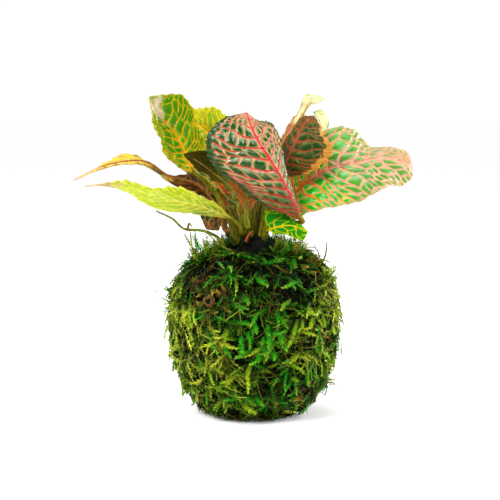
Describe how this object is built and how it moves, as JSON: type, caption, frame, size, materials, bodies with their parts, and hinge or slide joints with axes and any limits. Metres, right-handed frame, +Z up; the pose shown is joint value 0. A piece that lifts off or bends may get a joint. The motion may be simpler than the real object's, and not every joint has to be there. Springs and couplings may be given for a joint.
{
  "type": "nerve plant kokedama",
  "caption": "Nerve plant with quilted green leaves and a net of pink-red veins, rooted in a soil ball wrapped in feathery green moss that stands on a small flat spot.",
  "frame": {"origin": "centre of the small flat spot that the moss ball rests on", "axes": "+Z up; -Y the side seen first, with the large red-veined leaf in front; +X to its right"},
  "size_m": [0.1744, 0.1166, 0.1661],
  "materials": {
    "moss_cover": "living feathery moss, matt, green to yellow-green with dark gaps",
    "soil_ball": "moist dark potting soil bound by roots, matt",
    "stem_middle": "soft yellow-olive stem, faint hairs",
    "stem_left": "soft yellow-olive stem, faint hairs",
    "stem_right": "soft yellow-olive stem, faint hairs",
    "stem_back": "soft yellow-olive stem, faint hairs",
    "dried_stub": "dried reddish-brown stub",
    "leaf_front": "quilted leaf with a satin sheen and a net of coloured veins",
    "leaf_right": "quilted leaf with a satin sheen and a net of coloured veins",
    "leaf_upper_left": "quilted leaf with a satin sheen and a net of coloured veins",
    "leaf_behind_left": "quilted leaf with a satin sheen and a net of coloured veins",
    "leaf_dark_small": "quilted leaf with a satin sheen and a net of coloured veins",
    "leaf_long_left": "quilted leaf with a satin sheen and a net of coloured veins",
    "leaf_low_left": "quilted leaf with a satin sheen and a net of coloured veins",
    "leaf_low_right": "quilted leaf with a satin sheen and a net of coloured veins",
    "leaf_upright_brown": "quilted leaf with a satin sheen and a net of coloured veins",
    "leaf_curled_tip": "quilted leaf with a satin sheen and a net of coloured veins",
    "leaf_pale_tip": "quilted leaf with a satin sheen and a net of coloured veins",
    "leaf_under_left": "quilted leaf with a satin sheen and a net of coloured veins",
    "leaf_middle": "quilted leaf with a satin sheen and a net of coloured veins",
    "leaf_back_middle": "quilted leaf with a satin sheen and a net of coloured veins",
    "leaf_back_top": "quilted leaf with a satin sheen and a net of coloured veins",
    "leaf_back_right": "quilted leaf with a satin sheen and a net of coloured veins",
    "leaf_back_left": "quilted leaf with a satin sheen and a net of coloured veins",
    "leaf_back_low_right": "quilted leaf with a satin sheen and a net of coloured veins",
    "leaf_back_low_left": "quilted leaf with a satin sheen and a net of coloured veins"
  },
  "bodies": {
    "root": {"moss_cover": "moss_cover", "soil_ball": "soil_ball", "stem_middle": "stem_middle", "stem_left": "stem_left", "stem_right": "stem_right", "stem_back": "stem_back", "dried_stub": "dried_stub", "leaf_front": "leaf_front", "leaf_right": "leaf_right", "leaf_upper_left": "leaf_upper_left", "leaf_behind_left": "leaf_behind_left", "leaf_dark_small": "leaf_dark_small", "leaf_long_left": "leaf_long_left", "leaf_low_left": "leaf_low_left", "leaf_low_right": "leaf_low_right", "leaf_upright_brown": "leaf_upright_brown", "leaf_curled_tip": "leaf_curled_tip", "leaf_pale_tip": "leaf_pale_tip", "leaf_under_left": "leaf_under_left", "leaf_middle": "leaf_middle", "leaf_back_middle": "leaf_back_middle", "leaf_back_top": "leaf_back_top", "leaf_back_right": "leaf_back_right", "leaf_back_left": "leaf_back_left", "leaf_back_low_right": "leaf_back_low_right", "leaf_back_low_left": "leaf_back_low_left"}
  },
  "joints": []
}
